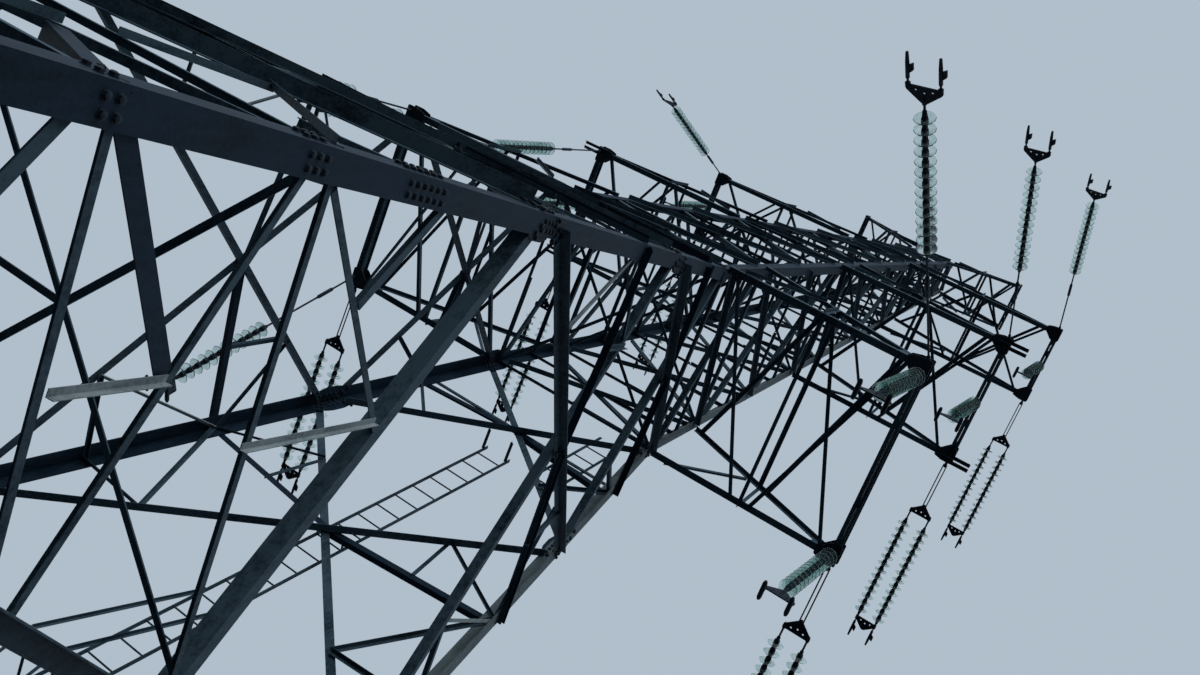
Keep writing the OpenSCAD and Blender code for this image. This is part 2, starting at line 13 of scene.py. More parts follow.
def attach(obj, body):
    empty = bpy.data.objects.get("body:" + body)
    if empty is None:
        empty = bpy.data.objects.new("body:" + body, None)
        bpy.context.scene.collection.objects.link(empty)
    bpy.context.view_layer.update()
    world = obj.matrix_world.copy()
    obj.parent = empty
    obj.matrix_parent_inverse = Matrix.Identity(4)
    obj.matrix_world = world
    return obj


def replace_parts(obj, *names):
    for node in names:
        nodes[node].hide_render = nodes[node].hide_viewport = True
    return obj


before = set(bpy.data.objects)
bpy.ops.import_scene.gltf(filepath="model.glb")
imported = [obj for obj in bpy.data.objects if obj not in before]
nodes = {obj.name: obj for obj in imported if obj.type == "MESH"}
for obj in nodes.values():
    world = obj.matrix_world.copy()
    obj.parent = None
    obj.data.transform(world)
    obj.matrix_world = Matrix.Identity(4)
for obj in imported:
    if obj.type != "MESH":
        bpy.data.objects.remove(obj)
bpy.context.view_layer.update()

# %% [markdown]
# ## The camera
# The photograph was taken by somebody standing beside a foot of the tower and looking steeply
# up. The place is in metres, and the three turns are those that make the legs, arms and strings
# fall where the picture shows them.

# %% Set up the camera
camera_place = (7.014, -4.580, 1.6)
camera_turn = (174.710, -28.205, -23.881)
focal_length = 36.242
nearest_seen = 0.05
farthest_seen = 300

camera_data = bpy.data.cameras.new("ground_view")
camera_data.lens = focal_length
camera_data.clip_start = nearest_seen
camera_data.clip_end = farthest_seen
camera = bpy.data.objects.new("ground_view", camera_data)
camera.location = camera_place
camera.rotation_euler = [math.radians(turn) for turn in camera_turn]
bpy.context.scene.collection.objects.link(camera)
bpy.context.scene.camera = camera
print("camera", camera_place)

# %% [markdown]
# ## Soft light and a pale surround
# Under a broken overcast the sky is not equally bright all round. The world gives an even level,
# one lamp stands for the bright patch of cloud behind the tower, and a very broad one for the open
# sky on the near side. Upright faces are lit and undersides stay dark, which is what makes an angle
# bar read as two planes. What the camera sees behind the steel is a plain pale grey, set apart from
# the light by the Light Path node. Glossy and transmission rays see it too, or the glass would
# look into the lighting sky and not into what stands behind it. The lamps are kept out of those
# rays, because a bright disc would show in every glass bell as a white spark.

# %% Light the scene
sky_light = (0.80, 0.88, 0.96)
sky_level = 0.20
sky_shown = (0.44, 0.52, 0.60)
lamps = (
    ("bright_cloud", (-0.85, 0.31, 0.66), 2.2, 25),
    ("open_sky", (0.15, -0.88, 0.45), 2.8, 70),
)

world = bpy.data.worlds.new("overcast")
bpy.context.scene.world = world
world.use_nodes = True
sky = world.node_tree
sky.nodes.clear()
output = sky.nodes.new("ShaderNodeOutputWorld")
mix = sky.nodes.new("ShaderNodeMixShader")
path = sky.nodes.new("ShaderNodeLightPath")
lit = sky.nodes.new("ShaderNodeBackground")
shown = sky.nodes.new("ShaderNodeBackground")
lit.inputs["Color"].default_value = (*sky_light, 1)
lit.inputs["Strength"].default_value = sky_level
shown.inputs["Color"].default_value = (*sky_shown, 1)
looking = path.outputs["Is Camera Ray"]
for ray in ("Is Glossy Ray", "Is Transmission Ray"):
    either = sky.nodes.new("ShaderNodeMath")
    either.operation = "MAXIMUM"
    sky.links.new(looking, either.inputs[0])
    sky.links.new(path.outputs[ray], either.inputs[1])
    looking = either.outputs[0]
sky.links.new(looking, mix.inputs["Fac"])
sky.links.new(lit.outputs[0], mix.inputs[1])
sky.links.new(shown.outputs[0], mix.inputs[2])
sky.links.new(mix.outputs[0], output.inputs["Surface"])

for name, comes_from, energy, spread in lamps:
    lamp_data = bpy.data.lights.new(name, "SUN")
    lamp_data.energy = energy
    lamp_data.angle = math.radians(spread)
    lamp = bpy.data.objects.new(name, lamp_data)
    lamp.rotation_euler = Vector(comes_from).to_track_quat("Z", "Y").to_euler()
    lamp.visible_glossy = False
    lamp.visible_transmission = False
    bpy.context.scene.collection.objects.link(lamp)
bpy.context.scene.view_settings.view_transform = "Standard"
print("light level", sky_level, "lamps", len(lamps))

# %% [markdown]
# ## The floor
# A pale floor in bright light would throw so much of it upwards that the undersides, which are
# most of what this camera sees, turned grey. So the camera sees a pale floor with the tower's
# shadow on it, while the light that bounces off it is that of a dark one.

# %% Lay the floor
floor_size = 400
floor_drop = 0.002
floor_seen = (0.60, 0.62, 0.64)
floor_bounced = (0.03, 0.045, 0.055)
floor_roughness = 0.9

bpy.ops.object.select_all(action="DESELECT")
bpy.ops.mesh.primitive_plane_add(size=floor_size, location=(0, 0, -floor_drop))
floor = bpy.context.object
floor.name = "floor"
floor_finish = bpy.data.materials.new("floor_finish")
floor_finish.use_nodes = True
floor_tree = floor_finish.node_tree
floor_shader = floor_tree.nodes["Principled BSDF"]
floor_shader.inputs["Roughness"].default_value = floor_roughness
floor_path = floor_tree.nodes.new("ShaderNodeLightPath")
floor_tone = floor_tree.nodes.new("ShaderNodeMix")
floor_tone.data_type = "RGBA"
floor_tone.inputs["A"].default_value = (*floor_bounced, 1)
floor_tone.inputs["B"].default_value = (*floor_seen, 1)
floor_tree.links.new(floor_path.outputs["Is Camera Ray"], floor_tone.inputs["Factor"])
floor_tree.links.new(floor_tone.outputs["Result"], floor_shader.inputs["Base Color"])
floor.data.materials.append(floor_finish)
print("floor", floor_size)

# %% [markdown]
# ## Four nodes that every finish uses
# Zinc and glass have little in common, but both are made of the same few steps: a noise that says
# where there is more or less of something, a ramp that turns it into a colour, a range that turns
# it into a roughness, and a bump that lets the light catch on it.

# %% Name the steps of a finish


def noise(tree, scale, detail):
    texture = tree.nodes.new("ShaderNodeTexNoise")
    texture.inputs["Scale"].default_value = scale
    texture.inputs["Detail"].default_value = detail
    return texture


def colour_ramp(tree, low, high, first, last):
    """Goes from the first colour to the last one between two levels."""
    ramp = tree.nodes.new("ShaderNodeValToRGB")
    ramp.color_ramp.elements[0].position = low
    ramp.color_ramp.elements[1].position = high
    ramp.color_ramp.elements[0].color = (*first, 1)
    ramp.color_ramp.elements[1].color = (*last, 1)
    return ramp


def level_range(tree, low, high):
    """Turns a level between 0 and 1 into one between low and high."""
    levels = tree.nodes.new("ShaderNodeMapRange")
    levels.inputs["To Min"].default_value = low
    levels.inputs["To Max"].default_value = high
    return levels


def relief(tree, strength, depth):
    bump = tree.nodes.new("ShaderNodeBump")
    bump.inputs["Strength"].default_value = strength
    bump.inputs["Distance"].default_value = depth
    return bump


print("steps of a finish: noise, colour ramp, level range, relief")

# %% [markdown]
# ## Weathered zinc
# Galvanised angle bars come out of the bath with large soft patches and a fine crystal pattern,
# and rain then darkens them in streaks that run down. Three textures on the object's own
# coordinates make that: a broad noise for the patches, a cell pattern for the crystals and a
# stretched noise for the streaks.

# %% Make the steel finish
patch_scale = 1.3
patch_detail = 6
crystal_scale = 45
crystal_share = 0.22
streak_stretch = (9, 9, 0.7)
streak_scale = 2
streak_detail = 4
streak_share = 0.6
zinc_metallic = 0.15
zinc_specular = 0.10
tone_low = 0.62
tone_high = 1.02
smoother = 0.08
rougher = 0.12
zinc_relief = 0.25
zinc_depth = 0.002


def steel_finish(name, dark, light, roughness):
    material = bpy.data.materials.new(name)
    material.use_nodes = True
    tree = material.node_tree
    shader = tree.nodes["Principled BSDF"]
    shader.inputs["Metallic"].default_value = zinc_metallic
    shader.inputs["Specular IOR Level"].default_value = zinc_specular
    place = tree.nodes.new("ShaderNodeTexCoord")

    patches = noise(tree, patch_scale, patch_detail)
    crystals = tree.nodes.new("ShaderNodeTexVoronoi")
    crystals.inputs["Scale"].default_value = crystal_scale
    stretch = tree.nodes.new("ShaderNodeMapping")
    stretch.inputs["Scale"].default_value = streak_stretch
    streaks = noise(tree, streak_scale, streak_detail)
    for texture in (patches, crystals, stretch):
        tree.links.new(place.outputs["Object"], texture.inputs["Vector"])
    tree.links.new(stretch.outputs[0], streaks.inputs["Vector"])

    tone = patches.outputs["Fac"]
    layers = ((crystals.outputs["Distance"], crystal_share), (streaks.outputs["Fac"], streak_share))
    for layer, share in layers:
        laid_on = tree.nodes.new("ShaderNodeMath")
        laid_on.operation = "MULTIPLY_ADD"
        laid_on.inputs[1].default_value = share
        tree.links.new(layer, laid_on.inputs[0])
        tree.links.new(tone, laid_on.inputs[2])
        tone = laid_on.outputs[0]
    ramp = colour_ramp(tree, tone_low, tone_high, dark, light)
    tree.links.new(tone, ramp.inputs["Fac"])
    tree.links.new(ramp.outputs["Color"], shader.inputs["Base Color"])

    gloss = level_range(tree, roughness - smoother, roughness + rougher)
    tree.links.new(patches.outputs["Fac"], gloss.inputs["Value"])
    tree.links.new(gloss.outputs[0], shader.inputs["Roughness"])
    bump = relief(tree, zinc_relief, zinc_depth)
    tree.links.new(tone, bump.inputs["Height"])
    tree.links.new(bump.outputs["Normal"], shader.inputs["Normal"])
    return material


finishes = (
    # The darkest copy of the steel: painted shade for faces that turn away from the light.
    ("shaded_leg_steel", (0.003, 0.008, 0.015), (0.012, 0.025, 0.042), 0.60),
    # A lighter copy of the leg steel: painted light for the one leg that catches it.
    ("lit_leg_steel", (0.028, 0.046, 0.055), (0.100, 0.135, 0.150), 0.60),
    ("brace_steel", (0.004, 0.013, 0.022), (0.048, 0.080, 0.106), 0.62),
    # The palest copy of the steel: painted light for the lowest bars that catch it.
    ("lit_bar_steel", (0.060, 0.088, 0.102), (0.230, 0.285, 0.310), 0.64),
    ("fitting_steel", (0.003, 0.006, 0.010), (0.022, 0.032, 0.044), 0.50),
)
steels = [steel_finish(name, dark, light, roughness) for name, dark, light, roughness in finishes]
shaded_leg_steel, lit_leg_steel, brace_steel, lit_bar_steel, fitting_steel = steels
print("finishes", [steel.name for steel in steels])

# %% [markdown]
# ## Toughened glass
# The discs are pale green pressed glass that lets the sky through, brighter at the rim and dusty
# on top. A thin film of dust is a second, rougher and duller layer that a noise lays on in
# patches, so no two discs look quite the same.

# %% Make the glass
glass_tint = (0.84, 0.95, 0.92)
glass_ior = 1.33
glass_specular = 0.3
dust_tint = (0.60, 0.75, 0.71)
dust_scale = 9
dust_detail = 5
dust_begins = 0.35
dust_covers = 0.70
clear_through = 1.0
dusty_through = 0.84
clear_roughness = 0.02
dusty_roughness = 0.16
ripple_relief = 0.15
ripple_depth = 0.002

glass = bpy.data.materials.new("disc_glass")
glass.use_nodes = True
glass_tree = glass.node_tree
glass_shader = glass_tree.nodes["Principled BSDF"]
glass_shader.inputs["IOR"].default_value = glass_ior
glass_shader.inputs["Specular IOR Level"].default_value = glass_specular
glass_place = glass_tree.nodes.new("ShaderNodeTexCoord")
dust = noise(glass_tree, dust_scale, dust_detail)
film = colour_ramp(glass_tree, dust_begins, dust_covers, glass_tint, dust_tint)
clear = level_range(glass_tree, clear_through, dusty_through)
haze = level_range(glass_tree, clear_roughness, dusty_roughness)
ripple = relief(glass_tree, ripple_relief, ripple_depth)
glass_tree.links.new(glass_place.outputs["Object"], dust.inputs["Vector"])
for reader in (film.inputs["Fac"], clear.inputs["Value"], haze.inputs["Value"], ripple.inputs["Height"]):
    glass_tree.links.new(dust.outputs["Fac"], reader)
glass_tree.links.new(film.outputs["Color"], glass_shader.inputs["Base Color"])
glass_tree.links.new(clear.outputs[0], glass_shader.inputs["Transmission Weight"])
glass_tree.links.new(haze.outputs[0], glass_shader.inputs["Roughness"])
glass_tree.links.new(ripple.outputs["Normal"], glass_shader.inputs["Normal"])
print("glass", glass.name)

# %% [markdown]
# ## Steel on every bar
# The legs are rolled from thicker steel and take the darkest copy of the steel, which paints the shade
# on their faces towards the camera, and the bars between them are a tone lighter. The leg on the right
# at the back takes a lighter copy, which paints on the light that falls on it. A node that comes from
# the imported model takes a finish through its material slot, and stays as it is.

# %% Put the finishes on the construction


def finish_node(name, material):
    for slot in nodes[name].material_slots:
        slot.material = material


for name in nodes:
    finish_node(name, shaded_leg_steel if name.startswith("leg") else brace_steel)
# The back right leg gets the lighter copy, which paints on the light that it catches.
finish_node("leg_back_right", lit_leg_steel)
print("finished", len(nodes), "nodes")

# %% [markdown]
# ## Ways of making
# Most of what a pylon carries is one of four things: an angle bar, something round, a flat plate
# or a bolt. Each is made once, along its own axis, and every copy gets its own mesh, moved to its
# place. The copies are then joined into one piece, which rides on the construction.

# %% Name the steps that every piece goes through


def deselect():
    bpy.ops.object.select_all(action="DESELECT")


def close_and_leave():
    """Caps what is open, turns all faces outwards and goes back to object mode."""
    bpy.ops.mesh.select_all(action="SELECT")
    bpy.ops.mesh.fill_holes(sides=0)
    bpy.ops.mesh.normals_make_consistent(inside=False)
    bpy.ops.object.mode_set(mode="OBJECT")


def copy_at(template, place):
    piece = template.copy()
    piece.data = template.data.copy()
    piece.data.transform(place)
    bpy.context.collection.objects.link(piece)
    return piece


def joined(name, pieces):
    """Joins the copies into one piece and lets it ride on the construction."""
    deselect()
    for piece in pieces:
        piece.select_set(True)
    bpy.context.view_layer.objects.active = pieces[0]
    bpy.ops.object.join()
    whole = bpy.context.object
    whole.name = name
    whole.data.name = name
    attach(whole, "root")
    print(name, "from", len(pieces), "copies,", len(whole.data.polygons), "faces")
    return whole


def drop(*templates):
    for template in templates:
        bpy.data.objects.remove(template)


# %% [markdown]
# ## Where things are
# The four sides lean in towards the top, more steeply above the waist. A place on a side is given
# by how far it is from the middle of that side, its height, and how far it stands out from the
# legs' outer faces. Side 0 is the front, side 1 the right, side 2 the back and side 3 the left.
# Each crossarm ends in a level beam, whose reach, half length and height are given.

# %% Name the sizes of the body
base_half = 4.41
waist_half = 1.46
top_half = 0.48
waist_h = 17.2
top_h = 37.9
leg_w = 0.18
leg_t = 0.018
arm_tips = ((4.440, 1.445, waist_h), (4.445, 1.150, 23.8), (4.545, 0.810, 30.7))
low_lean = (base_half - waist_half) / waist_h
high_lean = (waist_half - top_half) / (top_h - waist_h)


def half_at(z):
    """How far the legs' outer faces are from the middle at a height."""
    if z < waist_h:
        return base_half - low_lean * z
    return waist_half - high_lean * (z - waist_h)


def turn_to(side):
    return Matrix.Rotation(math.radians(90 * side), 3, "Z")


def facing(side, z):
    """The direction that a side faces."""
    lean = low_lean if z < waist_h else high_lean
    return turn_to(side) @ Vector((0, -1, lean)).normalized()


def on_side(side, x, z, out=0.0):
    return turn_to(side) @ Vector((x, -half_at(z), z)) + facing(side, z) * out


print("half width at the waist", half_at(waist_h))

# %% [markdown]
# ## Places with a direction
# A bar has to know more than where it starts: its flange must face the right way too. So a place
# is a matrix of three axes and an origin. One for bars is built from the two ends and a direction
# for the free flange, and one for whatever stands on a face from that face's own direction.

# %% Build places from directions


def on_axes(across, along, up, origin):
    place = Matrix((across, along, up)).transposed().to_4x4()
    place.translation = origin
    return place


def bar_place(start, end, out):
    """Stretches a bar that is one metre long along Y from start to end, its free flange along out."""
    along = end - start
    across = along.cross(out).normalized()
    up = across.cross(along).normalized()
    return on_axes(across, along, up, start)


def standing(at, out):
    """The place of something that stands on a face, with its Z along out."""
    place = out.to_track_quat("Z", "Y").to_matrix().to_4x4()
    place.translation = at
    return place


print("the front faces", [round(v, 3) for v in facing(0, 0)])

# %% [markdown]
# ## The angle bar
# A rolled angle is one flat flange with its edge folded up at a right angle, so that is how it is
# modelled: a strip one metre long, one long edge extruded upwards, and a wall thickness for both
# flanges at once. A longer bar is the same one stretched along its length only.

# %% Draw the angle bars


def angle_bar(name, width, wall, material):
    """A bar one metre long along Y from the origin, with its free flange along Z."""
    deselect()
    bpy.ops.mesh.primitive_plane_add(size=1)
    piece = bpy.context.object
    piece.name = name
    for vertex in piece.data.vertices:
        vertex.co = (vertex.co.x * width, vertex.co.y + 0.5, 0)
    bpy.ops.object.mode_set(mode="EDIT")
    bpy.ops.mesh.select_mode(type="EDGE")
    bpy.ops.mesh.select_all(action="DESELECT")
    bpy.ops.object.mode_set(mode="OBJECT")
    for edge in piece.data.edges:
        edge.select = all(piece.data.vertices[i].co.x > 0 for i in edge.vertices)
    bpy.ops.object.mode_set(mode="EDIT")
    bpy.ops.mesh.extrude_region_move(TRANSFORM_OT_translate={"value": (0, 0, width)})
    bpy.ops.mesh.select_mode(type="VERT")
    bpy.ops.mesh.select_all(action="SELECT")
    bpy.ops.mesh.normals_make_consistent(inside=False)
    bpy.ops.object.mode_set(mode="OBJECT")
    if piece.data.polygons[0].normal.z < 0:
        piece.data.flip_normals()
    thicken = piece.modifiers.new("thicken", "SOLIDIFY")
    thicken.thickness = wall
    thicken.offset = 1
    bpy.ops.object.modifier_apply(modifier="thicken")
    piece.data.materials.append(material)
    return piece


# The heavy bar takes the darkest steel, which paints the shade on the face that it turns to the camera.
heavy_bar = angle_bar("heavy_bar", width=0.105, wall=0.008, material=shaded_leg_steel)
wide_bar = angle_bar("wide_bar", width=0.070, wall=0.006, material=brace_steel)
level_bar = angle_bar("level_bar", width=0.080, wall=0.007, material=shaded_leg_steel)
slim_bar = angle_bar("slim_bar", width=0.035, wall=0.004, material=brace_steel)
pale_bar = angle_bar("pale_bar", width=0.04, wall=0.005, material=lit_bar_steel)
thin_bar = angle_bar("thin_bar", width=0.05, wall=0.005, material=brace_steel)
print("faces of an angle bar", len(thin_bar.data.polygons))

# %% [markdown]
# ## The thin bars
# Between the main diagonals and the legs runs a second net of light angle bars, which keep the
# long bars from buckling. Each is bolted onto the face of the bar that it meets. Bars that end
# behind the legs turn their free flange inwards, and the others turn it outwards. An end is given
# by its distance from the side's middle, its height and how far out it lies.

# %% Name the ends of the thin bars below the waist
at_leg = None
leg_edge = 0.03
on_leg = 0.0
on_strut = -0.017
over_strut = -0.010
behind_leg = -0.024
heavy_bars = [
    ((at_leg, 4.60, behind_leg), (2.29, 5.33, behind_leg)),
]
wide_bars = [
    ((at_leg, 4.50, behind_leg), (2.41, 3.43, behind_leg)),
    ((at_leg, 7.70, behind_leg), (2.40, 6.90, behind_leg)),
]
level_bars = [
    ((at_leg, 12.43, on_leg), (0.0, 12.15, on_leg)),
    ((at_leg, 15.70, on_leg), (0.0, 15.87, on_leg)),
]
slim_bars = [
    ((at_leg, 12.43, behind_leg), (1.03, 13.12, behind_leg)),
]
short_bars = [
    ((1.16, 12.27, on_leg), (1.03, 13.12, on_leg)),
]
low_bars = [
    ((2.38, 4.62, over_strut), (2.29, 5.33, over_strut)),
    ((1.72, 6.12, on_strut), (1.50, 7.60, on_strut)),
    ((at_leg, 12.43, behind_leg), (1.46, 10.72, behind_leg)),
]
middle_bars = [
    ((at_leg, 10.80, behind_leg), (1.46, 10.72, behind_leg)),
    ((at_leg, 15.70, behind_leg), (1.00, 14.97, behind_leg)),
]
placed = heavy_bars + wide_bars + level_bars + slim_bars + short_bars + low_bars + middle_bars
print("thin bars below the waist on half a side", len(placed))

# %% [markdown]
# ## Level bars above the waist
# Every panel up there has a level bar at its foot and another where its two diagonals cross. A
# panel gets narrower upwards, so they cross above its middle, in the proportion of its two widths.
# There is a panel beside each crossarm, two from there up to the next one, and a last one below
# the top.

# %% Work out the bars above the waist
arm_depths = (1.75, 1.55, 1.50)
crown_depth = 1.45
crown_h = top_h - crown_depth
arm_heights = [z for reach, tip, z in arm_tips]

levels = []
for z, depth, above in zip(arm_heights, arm_depths, arm_heights[1:] + [crown_h]):
    levels += [z, z + depth, (z + depth + above) / 2]
levels += [crown_h, top_h]
upper_bars = []
for low, high in zip(levels, levels[1:]):
    cross = low + (high - low) * half_at(low) / (half_at(low) + half_at(high))
    upper_bars.append(((at_leg, cross, behind_leg), (0.0, cross, behind_leg)))
    upper_bars.append(((at_leg, low, behind_leg), (0.0, low, behind_leg)))
print("panels above the waist", len(levels) - 1)

# %% [markdown]
# ## Setting the thin bars
# The two halves of a side are mirror images, so each bar is set twice a side. Most kinds are on all four
# sides. The lowest ones catch the light on the left and right sides, so there they are a slimmer bar in
# a paler steel that paints that light on.

# %% Add the thin bars
all_sides = (0, 1, 2, 3)
front_and_back = (0, 2)
right_and_left = (1, 3)
bracing = (
    (heavy_bar, heavy_bars, all_sides),
    (wide_bar, wide_bars, all_sides),
    (level_bar, level_bars, all_sides),
    (slim_bar, slim_bars, all_sides),
    (thin_bar, short_bars, all_sides),
    (pale_bar, low_bars, right_and_left),
    (thin_bar, low_bars, front_and_back),
    (thin_bar, middle_bars + upper_bars, all_sides),
)


def end_point(side, hand, end):
    x, z, out = end
    across = half_at(z) - leg_edge if x is at_leg else x
    return on_side(side, hand * across, z, out)


bars = []
for template, places, sides in bracing:
    for side in sides:
        for hand in (-1, 1):
            for first, last in places:
                start = end_point(side, hand, first)
                end = end_point(side, hand, last)
                turned_out = -1 if first[2] == behind_leg else 1
                bars.append(copy_at(template, bar_place(start, end, turned_out * facing(side, 0))))
joined("thin_bracing", bars)
drop(heavy_bar, wide_bar, level_bar, slim_bar, pale_bar, thin_bar)

# %% [markdown]
# ## The ladder's rest frames
# Where the ladder begins, each rail has a frame on its inner side that a climber can lean into. It
# is bent from flat bar, so three pieces of it lie in the upright plane of the rail: one that goes
# in, a short post that holds the bend, and one that comes out again lower down.

# %% Add the rest frames
rail_places = (-0.145, 0.245)
rail_out = 0.14
frame_bend_in = 0.50
frame_top = 10.56
frame_bend = 8.43
frame_low = 6.90
rest_bar = angle_bar("rest_bar", width=0.035, wall=0.005, material=brace_steel)


def behind_back(x, z, out):
    """A point that stands out from the tower's back."""
    return Vector((x, half_at(z) + out, z))


bars = []
for x in rail_places:
    bend = behind_back(x, frame_bend, -frame_bend_in)
    for z in (frame_top, frame_bend, frame_low):
        on_rail = behind_back(x, z, rail_out)
        bars.append(copy_at(rest_bar, bar_place(bend, on_rail, Vector((1, 0, 0)))))
joined("rest_frames", bars)
drop(rest_bar)

# %% [markdown]
# ## Round work
# Rungs, pins, discs and clamps are all turned about an axis. A circle is drawn out ring by ring
# along a profile of radius and height, which gives crisp steps where the profile has them, and a
# number of sides that suits the size of the thing.

# %% Draw round work
smooth_below = math.radians(40)


def turned(name, profile, sides, material):
    """Round work about Z, drawn out ring by ring from (radius, height) to (radius, height)."""
    deselect()
    radius, height = profile[0]
    bpy.ops.mesh.primitive_circle_add(vertices=sides, radius=radius)
    piece = bpy.context.object
    piece.name = name
    bpy.ops.object.mode_set(mode="EDIT")
    bpy.ops.mesh.select_all(action="SELECT")
    bpy.ops.transform.translate(value=(0, 0, height))
    for next_radius, next_height in profile[1:]:
        rise = next_height - height
        bpy.ops.mesh.extrude_region_move(TRANSFORM_OT_translate={"value": (0, 0, rise)})
        share = next_radius / radius
        bpy.ops.transform.resize(value=(share, share, 1))
        radius, height = next_radius, next_height
    close_and_leave()
    bpy.ops.object.shade_smooth_by_angle(angle=smooth_below)
    piece.data.materials.append(material)
    return piece


rung = turned("rung", ((0.011, 0), (0.011, -1)), sides=8, material=brace_steel)
print("faces of a rung", len(rung.data.polygons))

# %% [markdown]
# ## The ladder's upper flight
# Below the waist the ladder changes over to a second flight that stands nearer to the leg. The
# lower flight's rails end in brackets that hold them to the side, and the upper flight starts a
# little below them.

# %% Add the upper flight
flight_places = (0.69, 1.05)
flight_low = 15.2
flight_top = 17.1
rung_gap = 0.33
bracket_h = 15.30
bracket_in = 0.16
rail_bar = angle_bar("rail_bar", width=0.045, wall=0.005, material=brace_steel)
rung_stretch = Matrix.Diagonal((1, 1, flight_places[1] - flight_places[0], 1))

bars = []
for x in flight_places:
    start = behind_back(x, flight_low, rail_out)
    end = behind_back(x, flight_top, rail_out)
    bars.append(copy_at(rail_bar, bar_place(start, end, Vector((0, 1, 0)))))
for x in rail_places:
    start = behind_back(x, bracket_h, rail_out)
    end = behind_back(x, bracket_h, -bracket_in)
    bars.append(copy_at(rail_bar, bar_place(start, end, Vector((0, 0, 1)))))
for i in range(int((flight_top - flight_low) / rung_gap)):
    start = behind_back(flight_places[0], flight_low + (i + 0.5) * rung_gap, rail_out)
    bars.append(copy_at(rung, standing(start, Vector((-1, 0, 0))) @ rung_stretch))
joined("upper_flight", bars)
drop(rail_bar, rung)

# %% [markdown]
# ## Flat plates
# Gussets, yokes and tongues are cut from plate. A filled circle with as many points as the outline
# is pulled to that outline, its corners are rounded, and the sheet is then given its thickness.

# %% Draw a gusset plate


def plate(name, outline, thickness, corner, material):
    deselect()
    bpy.ops.mesh.primitive_circle_add(vertices=len(outline), fill_type="NGON")
    piece = bpy.context.object
    piece.name = name
    for vertex, (x, y) in zip(piece.data.vertices, outline):
        vertex.co = (x, y, -thickness / 2)
    bpy.ops.object.mode_set(mode="EDIT")
    bpy.ops.mesh.select_all(action="SELECT")
    bpy.ops.mesh.bevel(offset=corner, segments=2, affect="VERTICES")
    bpy.ops.mesh.extrude_region_move(TRANSFORM_OT_translate={"value": (0, 0, thickness)})
    close_and_leave()
    piece.data.materials.append(material)
    return piece


gusset_hidden = 0.02
gusset_outline = (
    (-gusset_hidden, -0.20), (0.02, -0.20), (0.05, -0.08),
    (0.05, 0.10), (0.02, 0.22), (-gusset_hidden, 0.22),
)
gusset = plate("gusset", gusset_outline, thickness=0.010, corner=0.015, material=shaded_leg_steel)
print("faces of a gusset", len(gusset.data.polygons))

# %% [markdown]
# ## Gusset plates
# Where several bars reach a leg there is too little room on its flange for all their bolts, so a
# plate widens it. Each sits in line with the flange and reaches two fingers' width past its edge.

# %% Add the gusset plates
gusset_heights = (1.60, 9.25, 14.10, 17.05)


def flange_edge(side, hand, z):
    return on_side(side, hand * (half_at(z) - leg_w), z, -leg_t / 2)


plates = []
for side in range(4):
    for hand in (-1, 1):
        inward = turn_to(side) @ Vector((-hand, 0, 0))
        for z in gusset_heights:
            at = flange_edge(side, hand, z)
            up = (flange_edge(side, hand, z + 1) - at).normalized()
            out = inward.cross(up).normalized()
            plates.append(copy_at(gusset, on_axes(up.cross(out), up, out, at)))
joined("gussets", plates)
drop(gusset)

# %% [markdown]
# ## Bolts
# A bolt is a washer, a hexagon and a chamfer: six sides are all it needs at this distance, and the
# tower shows more than a thousand heads and nuts. Heads go on the outer face, nuts on the inner.

# %% Make a bolt
bolt_profile = ((0.020, 0), (0.020, 0.003), (0.0165, 0.004), (0.0165, 0.015), (0.009, 0.019))
bolt = turned("bolt", bolt_profile, sides=6, material=fitting_steel)
bracing_size = Matrix.Scale(1.2, 4)
leg_size = Matrix.Scale(1.15, 4)


def bolt_through(made, side, x, z, out_head, out_nut, size):
    """A head on a side's outer face, and the nut on its inner one."""
    out = facing(side, z)
    made.append(copy_at(bolt, standing(on_side(side, x, z, out_head), out) @ size))
    made.append(copy_at(bolt, standing(on_side(side, x, z, out_nut), -out) @ size))


print("faces of a bolt", len(bolt.data.polygons))

# %% [markdown]
# ## Bolts along the diagonals
# Of the two diagonals of a panel, the outer one lies on the legs' faces and the inner one behind
# their flanges. Both are held by pairs of bolts where they reach a leg, and by four bolts through
# the filler plate where they cross. The rows follow each diagonal's own middle line.

# %% Add the bolts of the body
low_diagonal_w = 0.125
low_diagonal_t = 0.010
middle_diagonal_w = 0.100
middle_diagonal_t = 0.008
leg_seat = 0.11
clearance = 0.012
low_inner = leg_t + low_diagonal_w + clearance
middle_inner = leg_t + middle_diagonal_w + clearance
node_gap = 0.2
bolt_gauge = 0.028
cross_step = 0.03
leg_bolt_in = (0.05, 0.115, 0.18)
panels = (
    (1.4, 9.4, low_diagonal_t, low_inner),
    (9.4, 14.1, middle_diagonal_t, middle_inner),
    (14.1, waist_h, middle_diagonal_t, middle_inner),
)


def middle_line(low, high, hand, inset):
    """Where a diagonal's middle line starts and ends, as distance from the middle and height."""
    start = Vector((-hand * (half_at(low + node_gap) - inset), low + node_gap))
    end = Vector((hand * (half_at(high - node_gap) - inset), high - node_gap))
    return start, end


def reach_leg(start, end, hand, inset):
    """The point of the line that is as far as inset from the leg line."""
    gap_start = half_at(start.y) - hand * start.x
    gap_end = half_at(end.y) - hand * end.x
    share = (gap_start - inset) / (gap_start - gap_end)
    return start + (end - start) * share


def bolt_pair(made, side, point, across, out_head, out_nut):
    """Two bolts across a bar."""
    for offset in (-bolt_gauge, bolt_gauge):
        x, z = point + across * offset
        bolt_through(made, side, x, z, out_head, out_nut, bracing_size)


